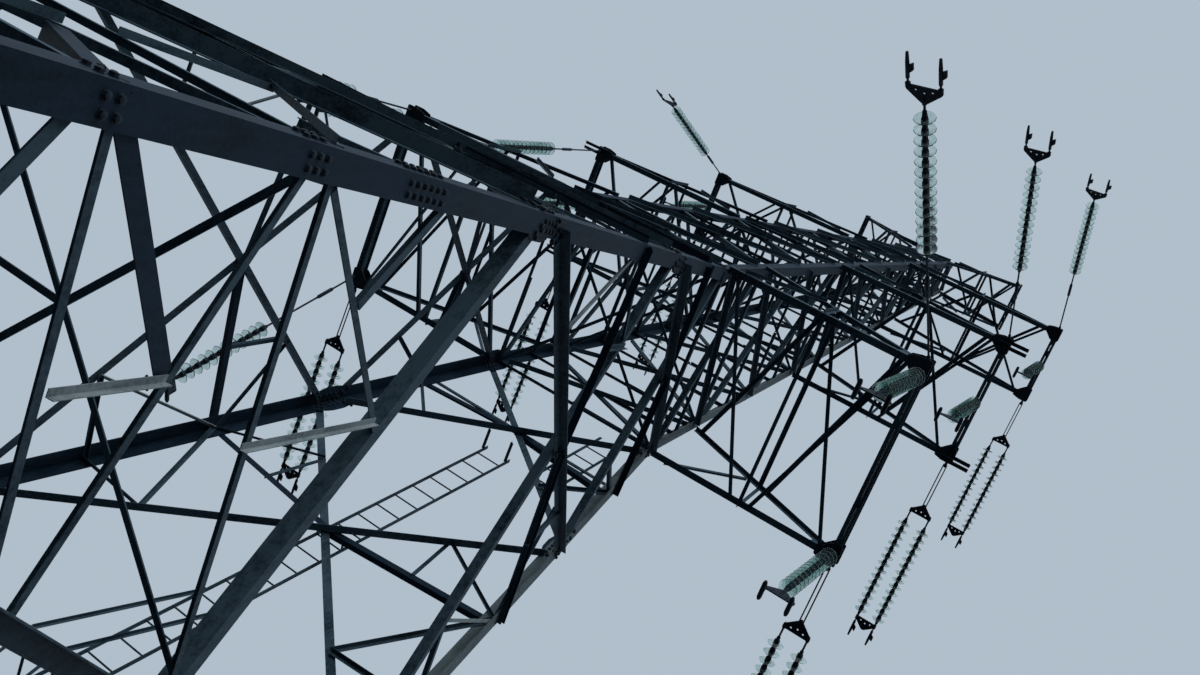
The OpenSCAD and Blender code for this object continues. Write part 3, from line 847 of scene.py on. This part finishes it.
def diagonal_bolts(made, side, low, high, wall, inner_inset):
    for hand in (-1, 1):
        outer = hand > 0
        start, end = middle_line(low, high, hand, leg_seat if outer else inner_inset)
        out_head = wall if outer else 0.0
        out_nut = -leg_t if outer else -leg_t - wall
        across = (end - start).orthogonal().normalized()
        for first, last, at_hand in ((start, end, hand), (end, start, -hand)):
            for inset in leg_bolt_in:
                if outer or inset > leg_bolt_in[0]:
                    point = reach_leg(first, last, at_hand, inset)
                    bolt_pair(made, side, point, across, out_head, out_nut)
        middle = start.lerp(end, start.x / (start.x - end.x))
        along = (end - start).normalized()
        for step in (-cross_step, cross_step):
            bolt_pair(made, side, middle + along * step, across, wall, -leg_t - wall)


bolts = []
for side in range(4):
    for low, high, wall, inner_inset in panels:
        diagonal_bolts(bolts, side, low, high, wall, inner_inset)
joined("body_bolts", bolts)

# %% [markdown]
# ## Bolts in the legs
# A leg is made of lengths of angle that are bolted end to end through a long double row, the
# splice. Shorter rows hold the gussets and the plan bracing at the nodes.

# %% Add the bolts of the leg joints
splice_pitch = 0.09
node_pitch = 0.075
row_insets = (0.060, 0.130)
rows = (
    (7.2, 6, splice_pitch),
    (4.55, 2, node_pitch),
    (5.98, 3, node_pitch),
    (9.40, 4, node_pitch),
    (14.10, 3, node_pitch),
    (17.0, 3, node_pitch),
)

bolts = []
for side in range(4):
    for hand in (-1, 1):
        for middle, count, pitch in rows:
            for i in range(count):
                z = middle + (i - (count - 1) / 2) * pitch
                for inset in row_insets:
                    bolt_through(bolts, side, hand * (half_at(z) - inset), z, 0.0, -leg_t, leg_size)
joined("leg_bolts", bolts)

# %% [markdown]
# ## The insulator strings
# Each disc is a bell of pressed glass under an iron cap, and its pin drops into the cap of the
# next one. The bell is drawn out ring by ring down to its rim and back up underneath. The packed
# strings give the place of every pin, link and yoke, so the new strings hang exactly there.

# %% Make one disc
disc_pitch = 0.146
shell_profile = (
    (0.040, -0.056), (0.090, -0.062), (0.1240, -0.082),
    (0.1185, -0.091), (0.085, -0.074), (0.040, -0.080),
)
cap_profile = ((0.028, 0.0), (0.041, -0.012), (0.044, -0.062), (0.036, -0.096), (0.029, -0.146))
shell = turned("shell", shell_profile, sides=12, material=glass)
cap = turned("cap", cap_profile, sides=8, material=fitting_steel)
print("faces of a disc", len(shell.data.polygons) + len(cap.data.polygons))

# %% [markdown]
# ## The round fittings
# Rods with a socket at each end join the discs to what carries them, and a turnbuckle takes up the
# slack of a long one. At the free end of a string sits a long strain clamp, and a support string
# ends in a short grip.

# %% Make the round fittings
socket_profile = ((0.012, 0.055), (0.027, 0.035), (0.027, -0.030), (0.013, -0.055))
turnbuckle_profile = ((0.016, 0.20), (0.030, 0.16), (0.030, -0.16), (0.016, -0.20))
clamp_profile = (
    (0.012, 0.030), (0.012, -0.020), (0.032, -0.028), (0.032, -0.044), (0.014, -0.052),
    (0.014, -0.090), (0.024, -0.105), (0.024, -0.300), (0.017, -0.420),
)
grip_profile = ((0.018, -0.130), (0.031, -0.095), (0.031, 0.095), (0.018, 0.130))
socket = turned("socket", socket_profile, sides=8, material=fitting_steel)
rod = turned("rod", ((0.015, 0), (0.015, -1)), sides=8, material=fitting_steel)
turnbuckle = turned("turnbuckle", turnbuckle_profile, sides=8, material=fitting_steel)
clamp = turned("clamp", clamp_profile, sides=8, material=fitting_steel)
grip = turned("grip", grip_profile, sides=8, material=fitting_steel)
print("faces of a clamp", len(clamp.data.polygons))

# %% [markdown]
# ## The flat fittings
# A yoke is the three-cornered plate that shares one pull between two. It is cut from thick plate,
# and three holes for pins go through it. The tongue stands off the side of a strain clamp, and the
# hanger is the strap that carries a grip. Plates are drawn lying down and then stood upright, as
# the grip is turned to lie level.

# %% Make the flat fittings
tongue_outline = ((0, 0), (0.07, -0.06), (0.07, -0.15), (0, -0.11))
hanger_l = 0.12
hanger_outline = ((-0.015, 0.01), (0.015, 0.01), (0.022, -hanger_l), (-0.022, -hanger_l))
yoke_half = 0.185
yoke_h = 0.155
yoke_edge = 0.028
yoke_outline = (
    (-0.025, 0.030), (0.025, 0.030),
    (yoke_half + yoke_edge, yoke_edge - yoke_h), (yoke_half + yoke_edge, -yoke_edge - yoke_h),
    (-yoke_half - yoke_edge, -yoke_edge - yoke_h), (-yoke_half - yoke_edge, yoke_edge - yoke_h),
)
yoke_holes = ((0, -0.105), (-0.095, -0.130), (0.095, -0.130))
yoke_hole_r = 0.014
punch_l = 0.1
tongue = plate("tongue", tongue_outline, thickness=0.022, corner=0.008, material=fitting_steel)
hanger = plate("hanger", hanger_outline, thickness=0.040, corner=0.006, material=fitting_steel)
yoke = plate("yoke", yoke_outline, thickness=0.018, corner=0.020, material=fitting_steel)

for x, y in yoke_holes:
    deselect()
    bpy.ops.mesh.primitive_cylinder_add(
        vertices=12, radius=yoke_hole_r, depth=punch_l, location=(x, y, 0),
    )
    punch = bpy.context.object
    cut = yoke.modifiers.new("cut", "BOOLEAN")
    cut.object = punch
    deselect()
    yoke.select_set(True)
    bpy.context.view_layer.objects.active = yoke
    bpy.ops.object.modifier_apply(modifier="cut")
    drop(punch)
for fitting in (yoke, tongue, hanger, grip):
    fitting.data.transform(Matrix.Rotation(math.radians(90), 4, "X"))
print("faces of a yoke", len(yoke.data.polygons))

# %% [markdown]
# ## The eye that hangs on a pin
# A string hangs on its pin by a forged eye, a ring that is a little longer than wide. A torus is
# turned upright and stretched to make it, and a short stem below leads to the first rod.

# %% Make the eye
eye_l = 0.15
ring_r = 0.034
ring_wall = 0.012
ring_stretch = 1.25
ring_drop = 0.010

deselect()
bpy.ops.mesh.primitive_torus_add(
    major_segments=12, minor_segments=6, major_radius=ring_r, minor_radius=ring_wall,
)
eye = bpy.context.object
bpy.ops.object.mode_set(mode="EDIT")
bpy.ops.mesh.select_all(action="SELECT")
bpy.ops.transform.rotate(value=math.radians(90), orient_axis="Y", center_override=(0, 0, 0))
bpy.ops.transform.resize(value=(1, 1, ring_stretch), center_override=(0, 0, 0))
bpy.ops.transform.translate(value=(0, 0, -ring_drop))
bpy.ops.object.mode_set(mode="OBJECT")
eye.data.materials.append(fitting_steel)
stem_profile = ((0.016, -0.050), (0.020, -0.075), (0.016, -eye_l))
stem = turned("stem", stem_profile, sides=8, material=fitting_steel)
print("eye", [round(v, 3) for v in eye.dimensions])

# %% [markdown]
# ## Hanging things in a row
# A string's own axes are worked out from its direction: one along it, one level where that is
# possible, so the two clamps of a yoke lie side by side. Everything on a string is then placed by
# how far aside and how far down it hangs, whichever way the string itself pulls.

# %% Name the steps of hanging
tension_discs = 14
tongue_drop = 0.15


def string_place(at, direction):
    up = -direction.normalized()
    level = (Vector((1, 0, 0)) - up.x * up).normalized()
    return on_axes(level, up.cross(level), up, at)


def hang(made, template, place, x, z):
    made.append(copy_at(template, place @ Matrix.Translation((x, 0, z))))


def hang_eye(made, place):
    hang(made, eye, place, 0, 0)
    hang(made, stem, place, 0, 0)


def hang_bar(made, place, x, top, bottom, thickness=1):
    """A bare rod, of its own thickness or a share of it."""
    stretch = Matrix.Diagonal((thickness, thickness, top - bottom, 1))
    made.append(copy_at(rod, place @ Matrix.Translation((x, 0, top)) @ stretch))


def hang_rod(made, place, x, top, bottom):
    """A rod with a socket at each end."""
    hang_bar(made, place, x, top, bottom)
    hang(made, socket, place, x, top)
    hang(made, socket, place, x, bottom)


def hang_discs(made, place, x, top, count):
    """Hangs the discs and gives back the height of their lower end."""
    for i in range(count):
        hang(made, shell, place, x, top - i * disc_pitch)
        hang(made, cap, place, x, top - i * disc_pitch)
    return top - count * disc_pitch


def hang_clamps(made, place, z):
    for x in (-yoke_half, yoke_half):
        hang(made, clamp, place, x, z)
        hang(made, tongue, place, x, z - tongue_drop)


print("length of a row of discs", tension_discs * disc_pitch)

# %% [markdown]
# ## The strings that carry the pull
# Two rows of discs share the pull of a tension string, between two yokes that point away from each
# other. The link from the eye to the first yoke is a pair of thin rods side by side. All these
# strings leave the tower the same way, nearly level.

# %% Describe a line string
line_dir = Vector((0, 1, -0.03))
line_link = 1.06
link_half = 0.030
link_thickness = 0.7
near_rod = 0.225
far_rod = 0.10


def line_string(at):
    made = []
    place = string_place(at, line_dir)
    hang_eye(made, place)
    for x in (-link_half, link_half):
        hang_bar(made, place, x, -eye_l, -line_link, link_thickness)
    hang(made, socket, place, 0, -eye_l)
    hang(made, socket, place, 0, -line_link)
    hang(made, yoke, place, 0, -line_link)
    top = -line_link - yoke_h
    for x in (-yoke_half, yoke_half):
        hang_rod(made, place, x, top, top - near_rod)
        bottom = hang_discs(made, place, x, top - near_rod, tension_discs)
        hang_rod(made, place, x, bottom, bottom - far_rod)
    over = Matrix.Translation((0, 0, bottom - far_rod - yoke_h)) @ Matrix.Rotation(math.pi, 4, "Y")
    made.append(copy_at(yoke, place @ over))
    hang_clamps(made, place, bottom - far_rod)
    return made


print("line link", line_link)

# %% [markdown]
# ## The strings on the slack side
# On the near side the strings pull less, so one row of discs is enough. Its eye can only swing in
# the plane across its pin, while the long rod below leans any way that it is pulled, so the eye
# and the rod each have a direction. A support string is hung in the same way, and is shorter.

# %% Describe the slack and support strings
slack_rod = 0.155
turnbuckle_share = 0.7
support_rod = 0.095
support_link = 0.28
support_discs = 12
pulled_share = 0.34


def hang_link(made, at, direction, link):
    """Hangs an eye and a rod that leans from it, and gives back the rod's place."""
    flat = Vector((0, direction.y, direction.z)).normalized()
    hang_eye(made, string_place(at, flat))
    place = string_place(at + flat * eye_l, direction)
    hang_rod(made, place, 0, 0, -link)
    return place


def slack_string(at, direction, link):
    made = []
    place = hang_link(made, at, direction, link)
    hang(made, turnbuckle, place, 0, -turnbuckle_share * link)
    low = hang_discs(made, place, 0, -link, tension_discs)
    bottom = low - slack_rod
    hang_rod(made, place, 0, low, bottom)
    hang(made, yoke, place, 0, bottom)
    hang_clamps(made, place, bottom - yoke_h)
    return made


def support_string(at, direction, link):
    made = []
    place = hang_link(made, at, direction, link)
    if link > support_link:
        hang(made, turnbuckle, place, 0, -pulled_share * link)
    low = hang_discs(made, place, 0, -link, support_discs)
    bottom = low - support_rod
    hang_rod(made, place, 0, low, bottom)
    hang(made, yoke, place, 0, bottom)
    for x in (-yoke_half, yoke_half):
        hang(made, hanger, place, x, bottom - yoke_h)
        hang(made, grip, place, x, bottom - yoke_h - hanger_l)
    return made


print("slack and support discs", tension_discs, support_discs)

# %% [markdown]
# ## Where each string hangs
# The pins are those in the beams at the crossarm tips. Every beam has one at each end for the
# strings that pull, and one or two further in for the support strings. The directions and the
# lengths of the links are those that the photograph shows, tip by tip from the lowest one up. One
# support string on the left is pulled aside and hangs on a long link.

# %% Hang the strings
pin_out = 0.035
pin_in = 0.09
pin_h = 0.06
down = Vector((0, 0, -1))
slack_dirs = {
    1: ((-0.182, -0.722, -0.667), (-0.162, -0.808, -0.567), (-0.080, -0.746, -0.661)),
    -1: ((0.030, -0.090, -1), (0.033, 0.023, -1), (-0.196, -0.415, -0.889)),
}
slack_links = {1: (1.86, 1.50, 1.81), -1: (1.45, 2.04, 1.04)}
pulled_dir = Vector((0.1, 0.314, -0.944))
pulled_link = 2.09
low_arm, middle_arm, high_arm = arm_tips
holds = ((low_arm, 1), (low_arm, -1), (middle_arm, 0), (high_arm, 0))

for hand, word in ((1, "right"), (-1, "left")):
    parts = []
    for x, y, z in arm_tips:
        parts += line_string(Vector((hand * x, y + pin_out, z + pin_h)))
    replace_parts(joined("glass_line_strings_" + word, parts), "line_strings_" + word)
    parts = []
    for (x, y, z), direction, link in zip(arm_tips, slack_dirs[hand], slack_links[hand]):
        parts += slack_string(Vector((hand * x, -y - pin_out, z + pin_h)), Vector(direction), link)
    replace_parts(joined("glass_slack_strings_" + word, parts), "slack_strings_" + word)
    parts = []
    for (x, y, z), end in holds:
        aside = hand < 0 and end > 0
        at = Vector((hand * x, end * (y - pin_in), z + pin_h))
        link = pulled_link if aside else support_link - eye_l
        parts += support_string(at, pulled_dir if aside else down, link)
    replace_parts(joined("glass_support_strings_" + word, parts), "support_strings_" + word)
drop(shell, cap, socket, rod, turnbuckle, clamp, grip, tongue, hanger, yoke, eye, stem)

# %% [markdown]
# ## Plates and stubs at the arm tips
# At each end of an end beam two chords, the beam and up to three strings meet. A plate under the
# beam and one above it hold them together, and from below they are the dark knots at the tips. On
# the middle crossarm two short angle bars stick out past the beam at each end as well.

# %% Add the plates and stubs at the arm tips
tip_outline = (
    (-0.26, -0.02), (-0.08, -0.19), (0.08, -0.19), (0.08, 0.12), (-0.10, 0.12), (-0.26, 0.08),
)
plate_levels = (-0.024, 0.144)
stub_reach = (4.30, 4.85)
stub_in = 0.03
stub_drop = 0.035
stub_gap = 0.10
tip_plate = plate("tip_plate", tip_outline, thickness=0.012, corner=0.020, material=fitting_steel)
stub = angle_bar("stub", width=0.06, wall=0.006, material=fitting_steel)

plates = []
for hand in (-1, 1):
    for end in (-1, 1):
        for apart in (0, stub_gap):
            y = end * (middle_arm[1] - stub_in + apart)
            z = middle_arm[2] - stub_drop
            root, tip = [Vector((hand * x, y, z)) for x in stub_reach]
            plates.append(copy_at(stub, bar_place(root, tip, down)))
for hand in (-1, 1):
    for end in (-1, 1):
        turn = Matrix.Diagonal((hand, end, hand * end, 1))
        for reach, tip, z in arm_tips:
            for level in plate_levels:
                at = Matrix.Translation((hand * reach, end * tip, z + level))
                plates.append(copy_at(tip_plate, at @ turn))
joined("tip_plates", plates)
drop(tip_plate, stub)

# %% [markdown]
# ## Bolts on the crossarms
# The end beam is two channels back to back. Big nuts on its outer faces hold the pins that carry
# the strings, and rows of bolts tie the chords and the cross bars together.

# %% Add the bolts of the crossarms
beam_face = 0.024
beam_rows = (0.02, 0.10)
beam_steps = (0.12, 0.20)
arm_out = 0.05
chord_half = 0.05
chord_step = 0.03
joint_shares = (0.05, 0.45, 0.5, 0.55, 0.93)
pin_size = Matrix.Scale(1.9, 4)


def on_beam(hand, reach, face, y, z):
    """The place of a nut on a face of an end beam."""
    return standing(Vector((hand * reach + face * beam_face, y, z)), Vector((face, 0, 0)))


bolts = []
for hand in (-1, 1):
    for reach, tip, z in arm_tips:
        support_pins = (tip - pin_in, pin_in - tip) if z == waist_h else (0.0,)
        for y in (tip + pin_out, -tip - pin_out) + support_pins:
            for face in (-1, 1):
                bolts.append(copy_at(bolt, on_beam(hand, reach, face, y, z + pin_h) @ pin_size))
        for end in (-1, 1):
            root = Vector((half_at(z), half_at(z) + arm_out))
            last = Vector((reach, tip + arm_out))
            for share in joint_shares:
                x, y = root.lerp(last, share)
                for step in (-chord_step, chord_step):
                    at = Vector((hand * (x + step), end * (y - chord_half), z))
                    bolts.append(copy_at(bolt, standing(at, down)))
            for row in beam_rows:
                for step in beam_steps:
                    for face in (-1, 1):
                        place = on_beam(hand, reach, face, end * (tip - step), z + row)
                        bolts.append(copy_at(bolt, place))
joined("arm_bolts", bolts)
drop(bolt)
